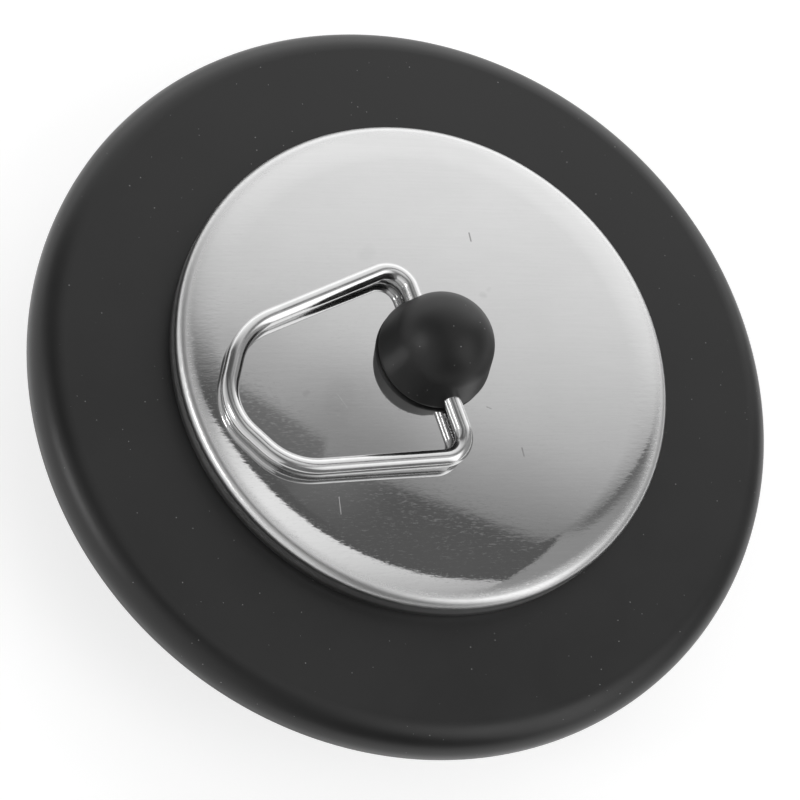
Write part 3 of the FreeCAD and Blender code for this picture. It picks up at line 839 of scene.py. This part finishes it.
def bright_wire(skin):
    """Satin bright steel wire, very slightly grainy."""
    material, tree, shader = new_material("bright_wire")
    surface = place_group(
        tree, skin, Grain_per_metre=WIRE_GRAIN_PER_METRE, Clouds_per_metre=WIRE_CLOUDS_PER_METRE
    ).outputs
    tone = mix_colour(tree, surface["Clouds"], grey(WIRE_TONES[0]), grey(WIRE_TONES[1]))
    tree.links.new(tone, shader.inputs["Base Color"])
    gloss = ramp_between(tree, surface["Clouds"], 0.0, 1.0, *WIRE_ROUGHNESS)
    tree.links.new(gloss, shader.inputs["Roughness"])
    add_bump(tree, shader, surface["Grain"], WIRE_GRAIN_HEIGHT)
    shader.inputs["Metallic"].default_value = 1.0
    return material


def pale_floor():
    """White floor: lit by the studio, and lifted to white where it is seen directly or mirrored."""
    material = bpy.data.materials.new("pale_floor")
    material.use_nodes = True
    tree = material.node_tree
    tree.nodes.clear()
    diffuse = add_node(tree, "ShaderNodeBsdfDiffuse", {"Color": grey(FLOOR_TONE)})
    rays = add_node(tree, "ShaderNodeLightPath").outputs
    seen = larger(tree, rays["Is Camera Ray"], rays["Is Glossy Ray"])
    seen = larger(tree, seen, rays["Is Transmission Ray"])
    strength = times(tree, seen, FLOOR_LIFT)
    lift = add_node(tree, "ShaderNodeEmission", {"Color": grey(1.0), "Strength": strength})
    both = add_node(tree, "ShaderNodeAddShader", {0: diffuse.outputs["BSDF"], 1: lift.outputs["Emission"]})
    add_node(tree, "ShaderNodeOutputMaterial", {"Surface": both.outputs["Shader"]})
    bpy.ops.mesh.primitive_plane_add(size=FLOOR_WIDTH)
    floor = bpy.context.object
    floor.name = "floor"
    floor.data.materials.append(material)


def view_axes():
    """The photograph's camera as level right, level heading, the point it looks at and the eye's place."""
    right = Vector((math.cos(VIEW_AZIMUTH), math.sin(VIEW_AZIMUTH), 0))
    heading = Vector((-right.y, right.x, 0))
    aim = Vector((0, 0, FLANGE_TOP))
    back = -heading * math.cos(VIEW_ELEVATION) + Vector((0, 0, math.sin(VIEW_ELEVATION)))
    return right, heading, aim, aim + VIEW_DISTANCE * back


def photo_camera():
    """Camera at the photograph's angle, rolled about its own axis."""
    right, _, aim, eye = view_axes()
    look = (aim - eye).normalized()
    up = right.cross(look)
    rolled_right = right * math.cos(VIEW_ROLL) + up * math.sin(VIEW_ROLL)
    rolled_up = up * math.cos(VIEW_ROLL) - right * math.sin(VIEW_ROLL)
    turn = Matrix((rolled_right, rolled_up, -look)).transposed().to_4x4()
    data = bpy.data.cameras.new("photo_camera")
    data.lens = VIEW_LENS
    data.sensor_width = VIEW_SENSOR
    data.shift_x, data.shift_y = VIEW_SHIFT
    data.clip_start = VIEW_NEAREST
    camera = bpy.data.objects.new("photo_camera", data)
    camera.matrix_world = Matrix.Translation(eye) @ turn
    bpy.context.scene.collection.objects.link(camera)
    bpy.context.scene.camera = camera


def along_axis(tree, direction, axis):
    """The share of a direction that lies along an axis."""
    return vector_node(tree, "DOT_PRODUCT", direction, tuple(axis), "Value")


def card_place(tree, direction, right, heading):
    """Where a direction meets the card, as tangents to the right and upwards.

    The card is square to the line that rises from the heading at its elevation. A direction behind is
    folded to the front, by taking its share along the heading as positive.
    """
    ahead = math_node(tree, "ABSOLUTE", along_axis(tree, direction, heading))
    upward = along_axis(tree, direction, (0.0, 0.0, 1.0))
    near, far = math.cos(CARD_ELEVATION), math.sin(CARD_ELEVATION)
    depth = plus(tree, times(tree, ahead, near), times(tree, upward, far))
    depth = larger(tree, depth, CARD_NEAREST)
    rise = less(tree, times(tree, upward, near), times(tree, ahead, far))
    return over(tree, along_axis(tree, direction, right), depth), over(tree, rise, depth)


def falling_line(tree, x, height, fall):
    """A line's height at x: its height at 0 less the fall times x."""
    return less(tree, height, times(tree, x, fall))


def wall_edge(tree, x):
    """Height of the wall's edge: one line on the right and, past a step, the higher of two on the left."""
    left = larger(tree, falling_line(tree, x, *WALL_EDGE_LEFT), falling_line(tree, x, *WALL_EDGE_FAR_LEFT))
    right = falling_line(tree, x, *WALL_EDGE_RIGHT)
    return blend(tree, ramp_between(tree, x, *WALL_EDGE_STEP), left, right)


def wall_light(tree, x, y, over_wall):
    """Light of the wall: its full light less the dimming times the square of the rise.

    The rise is the height above the brightest level, plus the bow times the square of the way to the
    right of the bow's start, held between 0 and its limit. The wall is dimmer just under its edge and
    in a round spot at x = 0, and brighter low down.
    """
    rightward = larger(tree, less(tree, x, WALL_BOW_START), 0.0)
    bow = times(tree, times(tree, rightward, rightward), WALL_BOW)
    rise = plus(tree, less(tree, y, WALL_BRIGHTEST), bow)
    rise = math_node(tree, "MINIMUM", larger(tree, rise, 0.0), WALL_RISE_LIMIT)
    wall = less(tree, WALL_LIGHT, times(tree, times(tree, rise, rise), WALL_DIMMING))
    wall = times(tree, wall, ramp_between(tree, over_wall, *WALL_UNDER_EDGE))
    above_spot = less(tree, y, WALL_SPOT_HEIGHT)
    from_spot = plus(tree, times(tree, x, x), times(tree, above_spot, above_spot))
    from_spot = math_node(tree, "SQRT", from_spot)
    wall = times(tree, wall, ramp_between(tree, from_spot, *WALL_SPOT))
    return plus(tree, wall, ramp_between(tree, y, *WALL_LOW))


def gap_light(tree, x, over_wall):
    """Light of the dark gap between the wall and the roof, with a glow over the wall's left part."""
    glow = times(tree, ramp_between(tree, over_wall, *GAP_GLOW), ramp_between(tree, x, *GAP_GLOW_END))
    return plus(tree, glow, GAP_LIGHT)


def roof_light(tree, x, y):
    """Light of the roof: dimmer to the right and at its left end, and even towards its top."""
    across = ramp_between(tree, x, *ROOF_ACROSS)
    roof = blend(tree, ramp_between(tree, y, *ROOF_TOP_START), across, ROOF_TOP_LIGHT)
    return times(tree, roof, ramp_between(tree, x, *ROOF_LEFT_END))


def side_light(tree, x, y, past_side):
    """Light of the grey side: a bright glint far to the right, and a dark lower corner beside the wall."""
    glint = times(tree, ramp_between(tree, x, *GLINT_START_X), ramp_between(tree, y, *GLINT_START_Y))
    side = blend(tree, glint, SIDE_LIGHT, GLINT_LIGHT)
    beside_wall = ramp_between(tree, past_side, *CORNER_END_SIDE)
    corner = times(tree, ramp_between(tree, y, *CORNER_END_Y), beside_wall)
    return blend(tree, corner, side, CORNER_LIGHT)


def studio_light():
    """A white tent: a wall, a dark gap over it, a bright roof and a grey side, and behind a small lamp.

    Each is drawn on the card, and behind is alike but dimmer. The wall's edge is softer to the left.
    The side starts, at each height, to the right of its tip by its bow times the root of the distance
    from the tip's height.
    """
    right, heading, _, _ = view_axes()
    world = bpy.data.worlds.new("studio")
    world.use_nodes = True
    tree = world.node_tree
    background = tree.nodes["Background"]
    background.inputs["Color"].default_value = grey(1.0)
    direction = add_node(tree, "ShaderNodeTexCoord").outputs["Generated"]
    x, y = card_place(tree, direction, right, heading)

    over_wall = less(tree, y, wall_edge(tree, x))
    leftward = larger(tree, less(tree, WALL_EDGE_SOFT_START, x), 0.0)
    softness = plus(tree, times(tree, leftward, WALL_EDGE_SOFTENING), WALL_EDGE_SOFTNESS)
    in_gap = ramp_between(tree, over(tree, over_wall, softness), -1.0, 1.0)
    lit = blend(tree, in_gap, wall_light(tree, x, y, over_wall), gap_light(tree, x, over_wall))

    over_roof_edge = less(tree, y, falling_line(tree, x, *ROOF_EDGE))
    lit = blend(tree, ramp_between(tree, over_roof_edge, *ROOF_EDGE_STEP), lit, roof_light(tree, x, y))

    tip_x, tip_y = SIDE_TIP
    bow = math_node(tree, "SQRT", math_node(tree, "ABSOLUTE", less(tree, y, tip_y)))
    past_side = less(tree, less(tree, x, tip_x), times(tree, bow, SIDE_BOW))
    side = side_light(tree, x, y, past_side)
    lit = blend(tree, ramp_between(tree, past_side, *SIDE_EDGE_STEP), lit, side)

    lit = times(tree, lit, ramp_between(tree, along_axis(tree, direction, heading), *BEHIND_DIMMING))
    lamp = (LAMP_RIGHT * right + LAMP_AHEAD * heading + Vector((0, 0, LAMP_UP))).normalized()
    to_lamp = along_axis(tree, direction, lamp)
    in_lamp = ramp_between(tree, to_lamp, math.cos(LAMP_OUTER_ANGLE), math.cos(LAMP_INNER_ANGLE))
    tree.links.new(blend(tree, in_lamp, lit, LAMP_LIGHT), background.inputs["Strength"])
    bpy.context.scene.world = world


specks = specks_group()
mark = mark_group()
skin = skin_group()
disc_rubber = rubber("disc_rubber", specks, skin, DISC_TONES, DISC_ROUGHNESS, DISC_SPECULAR)
knob_rubber = rubber("knob_rubber", specks, skin, KNOB_TONES, KNOB_ROUGHNESS, KNOB_SPECULAR)

new_piece(disc_mesh(), "stopper", "sealing_disc", disc_rubber)
new_piece(cover_mesh(), "stopper", "cover_plate", brushed_steel(mark))
new_piece(knob_mesh(), "stopper", "knob", knob_rubber)
new_piece(ring_mesh(), "ring", "pull_ring", bright_wire(skin))

pale_floor()
photo_camera()
studio_light()
bpy.context.scene.view_settings.view_transform = "Standard"
